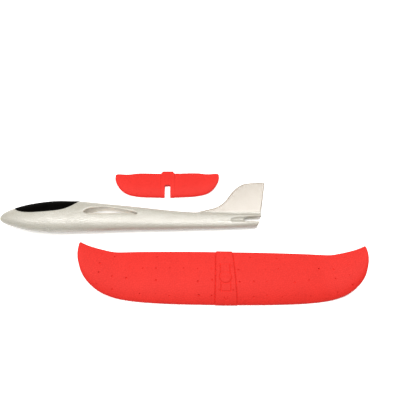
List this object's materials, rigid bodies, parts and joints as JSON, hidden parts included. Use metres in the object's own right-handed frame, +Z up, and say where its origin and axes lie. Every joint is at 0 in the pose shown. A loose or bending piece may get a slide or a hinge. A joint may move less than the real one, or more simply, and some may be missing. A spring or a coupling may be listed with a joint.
{
  "type": "foam glider laid out in its mouldings",
  "caption": "Free-flight foam glider laid out flat: white body with moulded fin, black canopy skin and slots, separate red wing and notched tailplane.",
  "frame": {"origin": "centre of the laid-out set's footprint, on the floor it lies on", "axes": "+X along the wing, from its left tip to its right tip as laid out, with the nose at -X; +Y from the wing to the tailplane; +Z up from the floor"},
  "size_m": [0.6253, 0.247, 0.0287],
  "materials": {
    "white_foam": "expanded foam with a fine bead texture",
    "red_foam": "expanded foam with a fine bead texture",
    "black_skin": "satin",
    "ballast_steel": "turned"
  },
  "bodies": {
    "body": {"fuselage": "white_foam", "canopy": "black_skin", "ballast_plug": "white_foam", "nose_ballast": "ballast_steel"},
    "wing": {"wing": "red_foam"},
    "tailplane": {"tailplane": "red_foam"}
  },
  "joints": [
    {"name": "wing_lift", "type": "slide", "parent": "body", "child": "wing", "axis": [0, 0, 1], "range_m": [0, 0.08]},
    {"name": "tailplane_lift", "type": "slide", "parent": "body", "child": "tailplane", "axis": [0, 0, 1], "range_m": [0, 0.08]}
  ]
}
